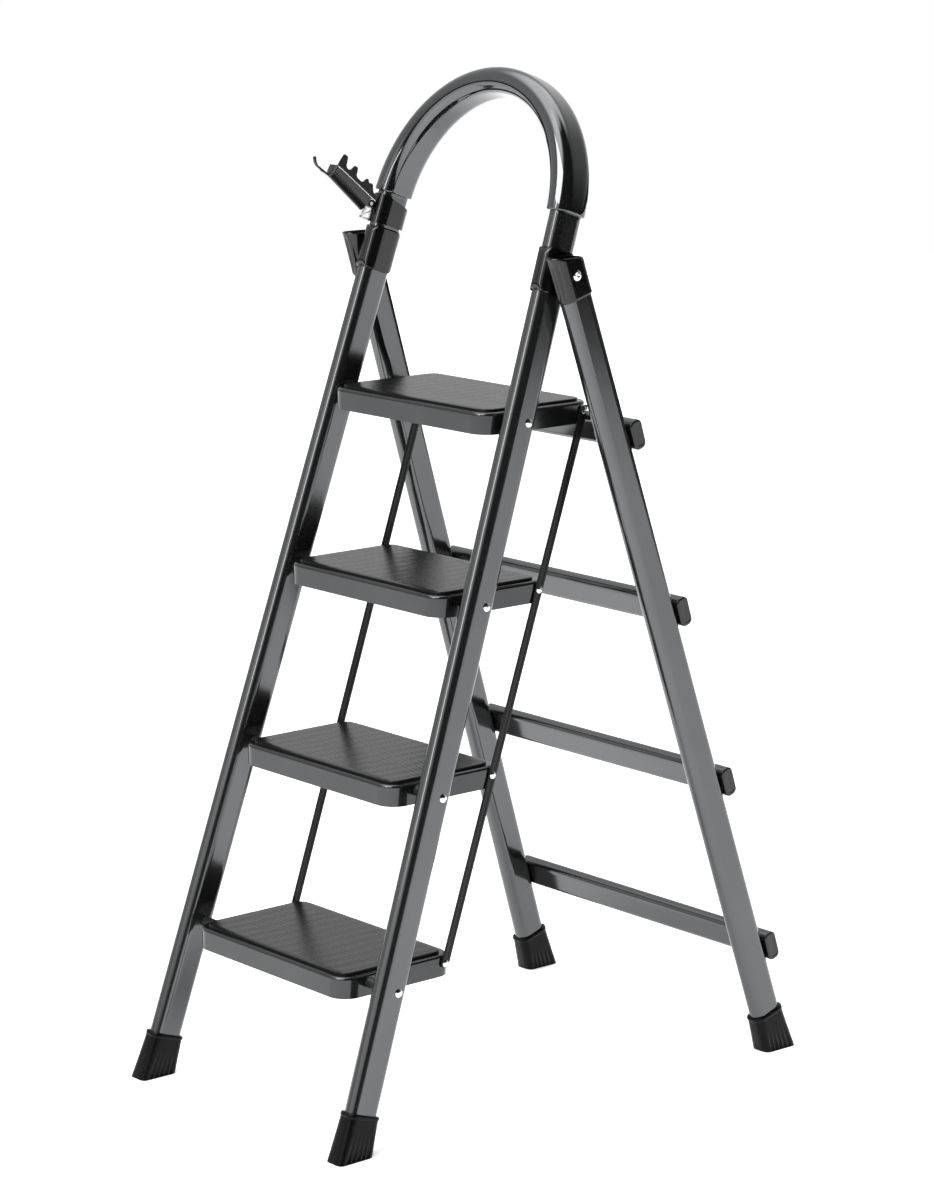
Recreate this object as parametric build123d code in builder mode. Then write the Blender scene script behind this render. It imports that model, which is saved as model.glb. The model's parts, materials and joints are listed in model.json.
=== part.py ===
# Folding step ladder: an arch-handled front frame, a hinged rear frame, four treads that fold
# together through a pair of link straps, and a small tool tray clamped beside the handle.
# X runs across the ladder, -Y is the climbing side, +Z is up and the feet stand on Z = 0.
# The origin is on the floor, in the middle of the footprint. Millimetres and degrees.
from build123d import *
from math import asin, cos, radians, sin, tan
import os

os.makedirs("parts", exist_ok=True)

SIDES = (("right", 1), ("left", -1))

# Frame lines, taken along the centre of the tubes
FOOT_SPREAD = 709.0
FRONT_FOOT_Y = -354.5
FRONT_LEAN = 18.6
REAR_LEAN = 17.9
FRONT_HALF = 209.0
FRONT_TAPER = 1.82
REAR_HALF = 242.8
REAR_TAPER = 1.93
ARCH_CENTRE = 1200.0

# Flat-oval tube
TUBE_DEEP = 45.0
TUBE_THIN = 25.0
TUBE_WALL = 1.2
TUBE_START = 24.0
PLAY = 0.1
FIT = 0.05

# Grip, hinge and feet
GRIP_WALL = 4.8
GRIP_START_ANGLE = 3.0
COLLAR_LENGTH = 57.0
COLLAR_WALL = 3.0
COLLAR_CORNER = 10.0
COLLAR_OVERRUN = 1.0
CAP_WALL = 2.2
CAP_BELOW_HINGE = 31.0
CAP_ABOVE_HINGE = 22.0
CAP_OVERRUN = 14.0
CAP_RECESS = 3.0
LEG_ABOVE_HINGE = 9.0
HINGE_PIN_RADIUS = 4.0
HINGE_HEAD_RADIUS = 6.5
HINGE_HEAD_DOME = 2.6
WASHER_RADIUS = 9.0
WASHER_GAP = 0.35
PIN_HEAD_LIFT = 0.4
BOOT_HEIGHT = 58.0
BOOT_TOP_WALL = 1.8
BOOT_FLARE_THIN = 1.9
BOOT_FLARE_DEEP = 3.4
BOOT_LIP = 5.0
BOOT_LIP_WALL = 1.0

# Treads
TREAD_TOPS = (212.5, 447.5, 679.0, 903.0)
TREAD_WIDTH = 312.0
TREAD_DEPTH = 183.0
TREAD_RIM = 28.0
TREAD_SHEET = 1.2
TREAD_CORNER = 26.0
TREAD_EDGE_ROUND = 4.0
FRONT_OVERHANG = 43.0
PIVOT_DROP = 11.0
PIVOT_SETBACK = 7.0
PIVOT_PIN_RADIUS = 4.0
PIVOT_PIN_INSET = 3.0
PIVOT_HEAD_RADIUS = 5.6
PIVOT_HEAD_DOME = 2.0
SPACER_RADIUS = 7.0
SPACER_GAP = 0.5
MAT_INSET = 9.0
MAT_THICK = 4.0
MAT_BEVEL = 0.8
STIFFENER_DEEP = 34.0
STIFFENER_HIGH = 14.0

# Link straps
STRAP_REACH = 123.0
STRAP_WIDE = 12.0
STRAP_THICK = 2.5
STRAP_GAP = 0.6
STRAP_PIN_RADIUS = 3.0
STRAP_PIN_INSET = 6.4
STRAP_HEAD_RADIUS = 4.8
STRAP_HEAD_DOME = 1.3

# Crossbars on the back of the rear legs
CROSSBAR_FIRST = 144.0
CROSSBAR_PITCH = 251.4
CROSSBAR_COUNT = 4
CROSSBAR_HIGH = 40.0
CROSSBAR_DEEP = 20.0
CROSSBAR_ROUND = 8.0
CROSSBAR_WALL = 1.2
CROSSBAR_CAP = 3.0
CROSSBAR_CAP_ROUND = 1.8
CROSSBAR_PLUG = 5.0
CROSSBAR_RIVET_RADIUS = 3.0
CROSSBAR_RIVET_INSET = 1.3
CROSSBAR_HEAD_RADIUS = 4.6
CROSSBAR_HEAD_DOME = 1.6

# Spreader hooks on the rear rim of the top tread
HOOK_X = 95.0
HOOK_WIDE = 22.0
HOOK_SHEET = 2.5
HOOK_TAB = 14.0
HOOK_REACH = 34.0
HOOK_LIP = 15.0
HOOK_RIVET_SPACING = 11.0
HOOK_RIVET_DROP = 7.0
HOOK_RIVET_RADIUS = 2.0
HOOK_HEAD_RADIUS = 3.4
HOOK_HEAD_DOME = 1.1

# Tool tray and its clamp on the left limb
CLAMP_START = 1166.0
CLAMP_LENGTH = 39.0
CLAMP_REAR_DROP = 13.0
CLAMP_WALL = 3.6
TRAY_AXIS_UP = 1188.0
TRAY_AXIS_OUT = 33.5
TRAY_SLOPE = 39.0
TRAY_EDGE_X = -166.0
TRAY_WIDE = 18.0
TRAY_NEAR = 5.5
TRAY_FAR = 78.5
TRAY_RIM = 6.3
TRAY_DEEP_NEAR = 21.5
TRAY_DEEP_FAR = 18.0
TRAY_WALL = 2.5
STRIP_FOOT = (-2.5, 4.0)
STRIP_START = 2.0
STRIP_TOP = 11.8
TEETH = ((11.5, 28.0, 21.0), (45.5, 54.5, 22.5), (68.5, 78.5, 24.0))
NOTCH_ROUND = 3.0
TONGUE_X = -173.0
TONGUE_WIDE = 4.0
TONGUE_PROFILE = ((76.0, -9.0), (76.0, -11.5), (101.0, -13.5), (111.5, -7.0), (109.5, -5.0), (100.5, -11.0))
KNUCKLE_X = -172.3
KNUCKLE_WIDE = 6.0
KNUCKLE_RADIUS = 5.0
KNUCKLE_LINK = 6.0
EAR_THICK = 3.0
EAR_GAP = 0.3
EAR_ROOT = 8.0
TRAY_PIN_RADIUS = 2.5
TRAY_HEAD_RADIUS = 4.0
TRAY_HEAD_DOME = 1.4
STAY_X = -173.0
STAY_THICK = 3.0
STAY_BAR = 2.6
STAY_BASE = 0.5
STAY_OUT = 19.0
STAY_TOP = (10.0, 15.5)

# Values worked out from the driving dimensions
REAR_FOOT_Y = FRONT_FOOT_Y + FOOT_SPREAD
HINGE_Z = FOOT_SPREAD / (tan(radians(FRONT_LEAN)) + tan(radians(REAR_LEAN)))
HINGE_Y = FRONT_FOOT_Y + HINGE_Z * tan(radians(FRONT_LEAN))
HINGE_UP_FRONT = HINGE_Z / cos(radians(FRONT_LEAN))
HINGE_UP_REAR = HINGE_Z / cos(radians(REAR_LEAN))
LEG_TOP = HINGE_UP_REAR + LEG_ABOVE_HINGE
ARCH_RADIUS = (FRONT_HALF - ARCH_CENTRE * tan(radians(FRONT_TAPER))) * cos(radians(FRONT_TAPER))
TREAD_HALF = TREAD_WIDTH / 2
STRAP_X = TREAD_HALF + STRAP_GAP
TREAD_NUMBERS = range(1, len(TREAD_TOPS) + 1)


def lean_plane(foot_y, lean):
    """Plane of a frame: local X across the ladder, local Y up along the frame, normal to the front."""
    return Plane(origin=(0, foot_y, 0), x_dir=(1, 0, 0), z_dir=(0, -cos(radians(lean)), sin(radians(lean))))


FRONT = lean_plane(FRONT_FOOT_Y, FRONT_LEAN)
REAR = lean_plane(REAR_FOOT_Y, -REAR_LEAN)


def half_spacing(frame, up):
    """Distance of a stile's or leg's centre from the middle of the ladder, measured up the frame."""
    if frame is FRONT:
        return FRONT_HALF - up * tan(radians(FRONT_TAPER))
    return REAR_HALF - up * tan(radians(REAR_TAPER))


def tube_plane(frame, side, up):
    """Cross-section plane of a straight tube: local X across, local Y to the rear, normal upwards."""
    taper = radians(FRONT_TAPER if frame is FRONT else REAR_TAPER)
    across = frame.x_dir * cos(taper) + frame.y_dir * (side * sin(taper))
    axis = frame.y_dir * cos(taper) - frame.x_dir * (side * sin(taper))
    centre = frame.from_local_coords((side * half_spacing(frame, up), up, 0))
    return Plane(origin=centre, x_dir=across, z_dir=axis)


def side_plane(frame, up, x=0.0):
    """Side view of a frame with its centre line at the given height: local X to the rear, local Y up it."""
    centre = frame.from_local_coords((x, up, 0))
    return Plane(origin=centre, x_dir=-frame.z_dir, z_dir=(1, 0, 0))


def cross_plane(x, y, z, side=1):
    """Plane square to the X axis, facing outwards on the given side of the ladder."""
    return Plane(origin=(x, y, z), x_dir=(0, 1, 0), z_dir=(side, 0, 0))


def pivot_point(number):
    """(Y, Z) of the pivot that joins a tread to the stiles."""
    height = TREAD_TOPS[number - 1] - PIVOT_DROP
    return FRONT_FOOT_Y + height * tan(radians(FRONT_LEAN)) + PIVOT_SETBACK, height


def strap_point(number):
    """(Y, Z) of the pivot that joins a tread to the link straps."""
    y, z = pivot_point(number)
    return y + STRAP_REACH, z


def tread_middle(number):
    """Y of the middle of a tread."""
    return pivot_point(number)[0] - FRONT_OVERHANG + TREAD_DEPTH / 2


def crossbar_up(number):
    """Distance up the rear frame of a crossbar's centre."""
    return CROSSBAR_FIRST + (number - 1) * CROSSBAR_PITCH


def rivet(plane, reach, shank, head, dome):
    """Domed rivet: the shank runs the given reach along the plane's normal, with a head at each end."""
    ball = (head * head + dome * dome) / (2 * dome)
    half_angle = asin(head / ball) / 2
    bulge = (ball * sin(half_angle), dome - ball + ball * cos(half_angle))
    with BuildPart() as body:
        with BuildSketch(Plane(origin=plane.origin, x_dir=plane.x_dir, z_dir=-plane.y_dir)):
            with BuildLine():
                ThreePointArc((0, -dome), (bulge[0], -bulge[1]), (head, 0))
                Polyline((head, 0), (shank, 0), (shank, reach), (head, reach))
                ThreePointArc((head, reach), (bulge[0], reach + bulge[1]), (0, reach + dome))
                Line((0, reach + dome), (0, -dome))
            make_face()
        revolve(axis=Axis(plane.origin, plane.z_dir))
    return body.part


def save(piece, name):
    piece.label = name
    export_step(piece, f"parts/{name}.step")


# Front frame tube: both stiles and the arch are one bent flat-oval tube
stile_foot = (half_spacing(FRONT, TUBE_START), TUBE_START)
arch_side = ARCH_RADIUS * cos(radians(FRONT_TAPER))
arch_spring = ARCH_CENTRE + ARCH_RADIUS * sin(radians(FRONT_TAPER))

with BuildPart() as front_tube:
    with BuildLine(FRONT) as spine:
        Line(stile_foot, (arch_side, arch_spring))
        CenterArc((0, ARCH_CENTRE), ARCH_RADIUS, FRONT_TAPER, 180 - 2 * FRONT_TAPER)
        Line((-arch_side, arch_spring), (-stile_foot[0], stile_foot[1]))
    with BuildSketch(tube_plane(FRONT, 1, TUBE_START)):
        SlotOverall(TUBE_DEEP, TUBE_THIN, rotation=90)
        SlotOverall(TUBE_DEEP - 2 * TUBE_WALL, TUBE_THIN - 2 * TUBE_WALL, rotation=90, mode=Mode.SUBTRACT)
    sweep(path=spine.wire())
    with BuildSketch(Plane.YZ):
        with Locations(*[pivot_point(number) for number in TREAD_NUMBERS]):
            Circle(PIVOT_PIN_RADIUS + FIT)
        with Locations((HINGE_Y, HINGE_Z)):
            Circle(HINGE_PIN_RADIUS + FIT)
    extrude(amount=FRONT_HALF + TUBE_THIN, both=True, mode=Mode.SUBTRACT)
save(front_tube.part, "front_tube")

# Grip sleeve over the arch
grip_across = FRONT.x_dir * cos(radians(GRIP_START_ANGLE)) + FRONT.y_dir * sin(radians(GRIP_START_ANGLE))
grip_along = FRONT.y_dir * cos(radians(GRIP_START_ANGLE)) - FRONT.x_dir * sin(radians(GRIP_START_ANGLE))

with BuildPart() as arch_grip:
    with BuildLine(FRONT) as grip_spine:
        CenterArc((0, ARCH_CENTRE), ARCH_RADIUS, GRIP_START_ANGLE, 180 - 2 * GRIP_START_ANGLE)
    with BuildSketch(Plane(origin=grip_spine.wire() @ 0, x_dir=grip_across, z_dir=grip_along)):
        SlotOverall(TUBE_DEEP + 2 * GRIP_WALL, TUBE_THIN + 2 * GRIP_WALL, rotation=90)
        SlotOverall(TUBE_DEEP + 2 * PLAY, TUBE_THIN + 2 * PLAY, rotation=90, mode=Mode.SUBTRACT)
    sweep(path=grip_spine.wire())
save(arch_grip.part, "arch_grip")

# Rear legs
for side_name, side in SIDES:
    with BuildPart() as rear_leg:
        with BuildSketch(tube_plane(REAR, side, TUBE_START)):
            SlotOverall(TUBE_DEEP, TUBE_THIN, rotation=90)
            SlotOverall(TUBE_DEEP - 2 * TUBE_WALL, TUBE_THIN - 2 * TUBE_WALL, rotation=90,
                        mode=Mode.SUBTRACT)
        extrude(amount=LEG_TOP - TUBE_START)
        with BuildSketch(cross_plane(0, HINGE_Y, HINGE_Z, side)):
            Circle(HINGE_PIN_RADIUS + FIT)
        extrude(amount=REAR_HALF, mode=Mode.SUBTRACT)
        for number in range(1, CROSSBAR_COUNT + 1):
            up = crossbar_up(number)
            with BuildSketch(Plane(REAR.from_local_coords((side * half_spacing(REAR, up), up, 0)),
                                   x_dir=(1, 0, 0), z_dir=-REAR.z_dir)):
                Circle(CROSSBAR_RIVET_RADIUS + FIT)
            extrude(amount=TUBE_DEEP, mode=Mode.SUBTRACT)
    save(rear_leg.part, f"rear_leg_{side_name}")

# Rubber feet: flared boots cut flat by the floor, with a thin lip around the top
for frame_name, frame in (("front", FRONT), ("rear", REAR)):
    for side_name, side in SIDES:
        top_deep = TUBE_DEEP + 2 * BOOT_TOP_WALL
        top_thin = TUBE_THIN + 2 * BOOT_TOP_WALL
        with BuildPart() as foot:
            with BuildSketch(tube_plane(frame, side, BOOT_HEIGHT)):
                SlotOverall(top_deep, top_thin, rotation=90)
            with BuildSketch(tube_plane(frame, side, -TUBE_START)):
                SlotOverall(top_deep + 2 * BOOT_FLARE_DEEP, top_thin + 2 * BOOT_FLARE_THIN, rotation=90)
            loft()
            with BuildSketch(tube_plane(frame, side, BOOT_HEIGHT - BOOT_LIP)):
                SlotOverall(top_deep + 2 * BOOT_LIP_WALL, top_thin + 2 * BOOT_LIP_WALL, rotation=90)
            extrude(amount=BOOT_LIP)
            with BuildSketch(tube_plane(frame, side, TUBE_START)):
                SlotOverall(TUBE_DEEP + 2 * PLAY, TUBE_THIN + 2 * PLAY, rotation=90)
            extrude(amount=BOOT_HEIGHT, mode=Mode.SUBTRACT)
            split(bisect_by=Plane.XY, keep=Keep.TOP)
        save(foot.part, f"{frame_name}_foot_{side_name}")

# Hinge collars around the stiles, with their four side corners rounded off
collar_deep = TUBE_DEEP + 2 * COLLAR_WALL
collar_high = COLLAR_LENGTH + 2 * COLLAR_OVERRUN

for side_name, side in SIDES:
    with BuildPart() as collar:
        with BuildSketch(tube_plane(FRONT, side, HINGE_UP_FRONT - COLLAR_LENGTH / 2)):
            SlotOverall(collar_deep, TUBE_THIN + 2 * COLLAR_WALL, rotation=90)
            SlotOverall(TUBE_DEEP + 2 * PLAY, TUBE_THIN + 2 * PLAY, rotation=90, mode=Mode.SUBTRACT)
        extrude(amount=COLLAR_LENGTH)
        with BuildSketch(side_plane(FRONT, HINGE_UP_FRONT)):
            RectangleRounded(collar_deep + 2 * COLLAR_OVERRUN, collar_high, COLLAR_CORNER)
        extrude(amount=FRONT_HALF, both=True, mode=Mode.INTERSECT)
        with BuildSketch(cross_plane(0, HINGE_Y, HINGE_Z, side)):
            Circle(HINGE_PIN_RADIUS + FIT)
        extrude(amount=FRONT_HALF, mode=Mode.SUBTRACT)
    save(collar.part, f"hinge_collar_{side_name}")

# Caps over the tops of the rear legs, cut level, with a shallow recess in the crown
crown = HINGE_Z + CAP_ABOVE_HINGE

for side_name, side in SIDES:
    cap_foot = tube_plane(REAR, side, HINGE_UP_REAR - CAP_BELOW_HINGE)
    with BuildPart() as cap:
        with BuildSketch(cap_foot):
            SlotOverall(TUBE_DEEP + 2 * CAP_WALL, TUBE_THIN + 2 * CAP_WALL, rotation=90)
        extrude(amount=CAP_BELOW_HINGE + CAP_ABOVE_HINGE + CAP_OVERRUN)
        split(bisect_by=Plane.XY.offset(crown), keep=Keep.BOTTOM)
        with BuildSketch(cap_foot):
            SlotOverall(TUBE_DEEP + 2 * PLAY, TUBE_THIN + 2 * PLAY, rotation=90)
        extrude(amount=CAP_BELOW_HINGE + LEG_ABOVE_HINGE + PLAY, mode=Mode.SUBTRACT)
        with BuildPart(mode=Mode.PRIVATE) as recess:
            with BuildSketch(cap_foot):
                SlotOverall(TUBE_DEEP, TUBE_THIN, rotation=90)
            extrude(amount=CAP_BELOW_HINGE + CAP_ABOVE_HINGE + CAP_OVERRUN)
            split(bisect_by=Plane.XY.offset(crown - CAP_RECESS), keep=Keep.TOP)
        add(recess.part, mode=Mode.SUBTRACT)
        with BuildSketch(cross_plane(0, HINGE_Y, HINGE_Z, side)):
            Circle(HINGE_PIN_RADIUS + FIT)
        extrude(amount=REAR_HALF, mode=Mode.SUBTRACT)
    save(cap.part, f"rear_cap_{side_name}")

# Hinge pins and the washers that keep each collar and cap apart
collar_inner_x = half_spacing(FRONT, HINGE_UP_FRONT) - TUBE_THIN / 2 - COLLAR_WALL
collar_outer_x = half_spacing(FRONT, HINGE_UP_FRONT) + TUBE_THIN / 2 + COLLAR_WALL
cap_inner_x = half_spacing(REAR, HINGE_UP_REAR) - TUBE_THIN / 2 - CAP_WALL
cap_outer_x = half_spacing(REAR, HINGE_UP_REAR) + TUBE_THIN / 2 + CAP_WALL

for side_name, side in SIDES:
    with BuildPart() as hinge_pin:
        pin_start = cross_plane(side * (collar_inner_x - PIN_HEAD_LIFT), HINGE_Y, HINGE_Z, side)
        pin_reach = cap_outer_x - collar_inner_x + 2 * PIN_HEAD_LIFT
        add(rivet(pin_start, pin_reach, HINGE_PIN_RADIUS, HINGE_HEAD_RADIUS, HINGE_HEAD_DOME))
    save(hinge_pin.part, f"hinge_pin_{side_name}")

with BuildPart() as hinge_washers:
    for _, side in SIDES:
        with BuildSketch(cross_plane(side * (collar_outer_x + WASHER_GAP), HINGE_Y, HINGE_Z, side)):
            Circle(WASHER_RADIUS)
            Circle(HINGE_PIN_RADIUS + FIT, mode=Mode.SUBTRACT)
        extrude(amount=cap_inner_x - collar_outer_x - 2 * WASHER_GAP)
save(hinge_washers.part, "hinge_washers")

# Places of the rivets that hold the spreader hooks to the rear rim of the top tread
hook_top = TREAD_TOPS[-1] - TREAD_EDGE_ROUND
rim_y = tread_middle(len(TREAD_TOPS)) + TREAD_DEPTH / 2
hook_rivet_z = hook_top - HOOK_RIVET_DROP
hook_rivet_xs = [side * HOOK_X + step * HOOK_RIVET_SPACING / 2 for side in (1, -1) for step in (1, -1)]

# Treads: a folded steel pan, a stiffening channel under it and a rubber mat on top
for number in TREAD_NUMBERS:
    top = TREAD_TOPS[number - 1]
    middle = tread_middle(number)
    with BuildPart() as pan:
        with BuildSketch(Plane.XY.offset(top - TREAD_RIM)):
            with Locations((0, middle)):
                RectangleRounded(TREAD_WIDTH, TREAD_DEPTH, TREAD_CORNER)
        extrude(amount=TREAD_RIM)
        fillet(pan.faces().sort_by(Axis.Z)[-1].edges(), TREAD_EDGE_ROUND)
        offset(amount=-TREAD_SHEET, openings=pan.faces().sort_by(Axis.Z)[0])
        with BuildSketch(Plane.YZ):
            with Locations(pivot_point(number)):
                Circle(PIVOT_PIN_RADIUS + FIT)
            with Locations(strap_point(number)):
                Circle(STRAP_PIN_RADIUS + FIT)
        extrude(amount=TREAD_WIDTH, both=True, mode=Mode.SUBTRACT)
        if top == TREAD_TOPS[-1]:
            with BuildSketch(Plane.XZ.offset(-rim_y)):
                with Locations(*[(x, hook_rivet_z) for x in hook_rivet_xs]):
                    Circle(HOOK_RIVET_RADIUS + FIT)
            extrude(amount=2 * TREAD_SHEET, both=True, mode=Mode.SUBTRACT)
    save(pan.part, f"tread_pan_{number}")

    with BuildPart() as mat:
        with BuildSketch(Plane.XY.offset(top)):
            with Locations((0, middle)):
                RectangleRounded(TREAD_WIDTH - 2 * MAT_INSET, TREAD_DEPTH - 2 * MAT_INSET,
                                 TREAD_CORNER - MAT_INSET)
        extrude(amount=MAT_THICK)
        chamfer(mat.faces().sort_by(Axis.Z)[-1].edges(), MAT_BEVEL)
    save(mat.part, f"tread_mat_{number}")

    with BuildPart() as stiffener:
        with BuildSketch(Plane.YZ.offset(-TREAD_HALF / 2)):
            with Locations((middle, top - TREAD_SHEET - STIFFENER_HIGH / 2)):
                Rectangle(STIFFENER_DEEP, STIFFENER_HIGH)
            with Locations((middle, top - TREAD_SHEET - STIFFENER_HIGH / 2 + TREAD_SHEET)):
                Rectangle(STIFFENER_DEEP - 2 * TREAD_SHEET, STIFFENER_HIGH, mode=Mode.SUBTRACT)
        extrude(amount=TREAD_HALF)
    save(stiffener.part, f"tread_stiffener_{number}")

# Pivot pins and spacers between the treads and the stiles
with BuildPart() as tread_pivot_pins:
    for number in TREAD_NUMBERS:
        y, z = pivot_point(number)
        stile_x = half_spacing(FRONT, z / cos(radians(FRONT_LEAN))) + TUBE_THIN / 2
        for _, side in SIDES:
            start = cross_plane(side * (TREAD_HALF - PIVOT_PIN_INSET), y, z, side)
            reach = stile_x - TREAD_HALF + PIVOT_PIN_INSET + PIN_HEAD_LIFT
            add(rivet(start, reach, PIVOT_PIN_RADIUS, PIVOT_HEAD_RADIUS, PIVOT_HEAD_DOME))
save(tread_pivot_pins.part, "tread_pivot_pins")

with BuildPart() as tread_spacers:
    for number in TREAD_NUMBERS:
        y, z = pivot_point(number)
        stile_inner_x = half_spacing(FRONT, z / cos(radians(FRONT_LEAN))) - TUBE_THIN / 2
        for _, side in SIDES:
            with BuildSketch(cross_plane(side * (TREAD_HALF + SPACER_GAP), y, z, side)):
                Circle(SPACER_RADIUS)
                Circle(PIVOT_PIN_RADIUS + FIT, mode=Mode.SUBTRACT)
            extrude(amount=stile_inner_x - TREAD_HALF - 2 * SPACER_GAP)
save(tread_spacers.part, "tread_spacers")

# Link straps: one flat bar each side, pinned to the rear of all four treads
strap_low = strap_point(1)
strap_high = strap_point(len(TREAD_TOPS))
strap_run = (strap_high[1] - strap_low[1]) / cos(radians(FRONT_LEAN))

for side_name, side in SIDES:
    with BuildPart() as strap:
        with BuildSketch(Plane.YZ.offset(side * STRAP_X)):
            with Locations(((strap_low[0] + strap_high[0]) / 2, (strap_low[1] + strap_high[1]) / 2)):
                SlotCenterToCenter(strap_run, STRAP_WIDE, rotation=90 - FRONT_LEAN)
            with Locations(*[strap_point(number) for number in TREAD_NUMBERS]):
                Circle(STRAP_PIN_RADIUS + FIT, mode=Mode.SUBTRACT)
        extrude(amount=side * STRAP_THICK)
    save(strap.part, f"link_strap_{side_name}")

for number in TREAD_NUMBERS:
    y, z = strap_point(number)
    with BuildPart() as strap_rivets:
        for _, side in SIDES:
            start = cross_plane(side * (TREAD_HALF - STRAP_PIN_INSET), y, z, side)
            reach = STRAP_PIN_INSET + STRAP_GAP + STRAP_THICK + 2 * PLAY
            add(rivet(start, reach, STRAP_PIN_RADIUS, STRAP_HEAD_RADIUS, STRAP_HEAD_DOME))
    save(strap_rivets.part, f"strap_rivets_{number}")

# Crossbars across the backs of the rear legs, their end plugs and rivets
bar_back = TUBE_DEEP / 2 + PLAY + CROSSBAR_DEEP / 2

for number in range(1, CROSSBAR_COUNT + 1):
    up = crossbar_up(number)
    half_length = half_spacing(REAR, up) + TUBE_THIN / 2 - CROSSBAR_CAP
    with BuildPart() as bar:
        with BuildSketch(side_plane(REAR, up)):
            with Locations((bar_back, 0)):
                RectangleRounded(CROSSBAR_DEEP, CROSSBAR_HIGH, CROSSBAR_ROUND)
                RectangleRounded(CROSSBAR_DEEP - 2 * CROSSBAR_WALL, CROSSBAR_HIGH - 2 * CROSSBAR_WALL,
                                 CROSSBAR_ROUND - CROSSBAR_WALL, mode=Mode.SUBTRACT)
        extrude(amount=half_length, both=True)
        with BuildSketch(Plane(REAR.from_local_coords((0, up, 0)), x_dir=(1, 0, 0), z_dir=-REAR.z_dir)):
            with GridLocations(2 * half_spacing(REAR, up), 1, 2, 1):
                Circle(CROSSBAR_RIVET_RADIUS + FIT)
        extrude(amount=TUBE_DEEP + CROSSBAR_DEEP, mode=Mode.SUBTRACT)
    save(bar.part, f"crossbar_{number}")

    for side_name, side in SIDES:
        plug_round = CROSSBAR_ROUND - CROSSBAR_WALL - PLAY
        with BuildPart() as plug:
            with BuildSketch(side_plane(REAR, up, side * half_length)):
                with Locations((bar_back, 0)):
                    RectangleRounded(CROSSBAR_DEEP, CROSSBAR_HIGH, CROSSBAR_ROUND)
            extrude(amount=side * CROSSBAR_CAP)
            outer_face = plug.faces().sort_by(Axis.X)[-1 if side > 0 else 0]
            fillet(outer_face.edges(), CROSSBAR_CAP_ROUND)
            with BuildSketch(side_plane(REAR, up, side * half_length)):
                with Locations((bar_back, 0)):
                    RectangleRounded(CROSSBAR_DEEP - 2 * CROSSBAR_WALL - 2 * PLAY,
                                     CROSSBAR_HIGH - 2 * CROSSBAR_WALL - 2 * PLAY, plug_round)
            extrude(amount=-side * CROSSBAR_PLUG)
        save(plug.part, f"crossbar_plug_{number}_{side_name}")

with BuildPart() as crossbar_rivets:
    for number in range(1, CROSSBAR_COUNT + 1):
        up = crossbar_up(number)
        for _, side in SIDES:
            inner_back = TUBE_DEEP / 2 - TUBE_WALL - CROSSBAR_RIVET_INSET
            inner = REAR.from_local_coords((side * half_spacing(REAR, up), up, -inner_back))
            start = Plane(origin=inner, x_dir=(1, 0, 0), z_dir=-REAR.z_dir)
            reach = bar_back + CROSSBAR_DEEP / 2 - inner_back
            add(rivet(start, reach, CROSSBAR_RIVET_RADIUS, CROSSBAR_HEAD_RADIUS, CROSSBAR_HEAD_DOME))
save(crossbar_rivets.part, "crossbar_rivets")

# Spreader hooks: riveted to the rear rim of the top tread, they rest over the top crossbar
hook_arm = hook_top - HOOK_TAB

with BuildPart() as spreader_hooks:
    for _, side in SIDES:
        with BuildSketch(Plane.YZ.offset(side * HOOK_X - HOOK_WIDE / 2)):
            with BuildLine():
                Polyline((rim_y, hook_top), (rim_y, hook_arm), (rim_y + HOOK_REACH, hook_arm),
                         (rim_y + HOOK_REACH, hook_arm - HOOK_LIP),
                         (rim_y + HOOK_REACH + HOOK_SHEET, hook_arm - HOOK_LIP),
                         (rim_y + HOOK_REACH + HOOK_SHEET, hook_arm + HOOK_SHEET),
                         (rim_y + HOOK_SHEET, hook_arm + HOOK_SHEET),
                         (rim_y + HOOK_SHEET, hook_top), close=True)
            make_face()
        extrude(amount=HOOK_WIDE)
    with BuildSketch(Plane.XZ.offset(-rim_y)):
        with Locations(*[(x, hook_rivet_z) for x in hook_rivet_xs]):
            Circle(HOOK_RIVET_RADIUS + FIT)
    extrude(amount=-2 * HOOK_SHEET, mode=Mode.SUBTRACT)
save(spreader_hooks.part, "spreader_hooks")

with BuildPart() as hook_rivets:
    for x in hook_rivet_xs:
        start = Plane(origin=(x, rim_y - TREAD_SHEET, hook_rivet_z), x_dir=(1, 0, 0), z_dir=(0, 1, 0))
        add(rivet(start, TREAD_SHEET + HOOK_SHEET, HOOK_RIVET_RADIUS, HOOK_HEAD_RADIUS, HOOK_HEAD_DOME))
save(hook_rivets.part, "hook_rivets")

# Tool tray clamp on the left limb: its top slopes to the rear and two ears carry the tray's pin
tray_axis = FRONT.from_local_coords((0, TRAY_AXIS_UP, TRAY_AXIS_OUT))
clamp_reach = TUBE_DEEP / 2 + CLAMP_WALL

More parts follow.
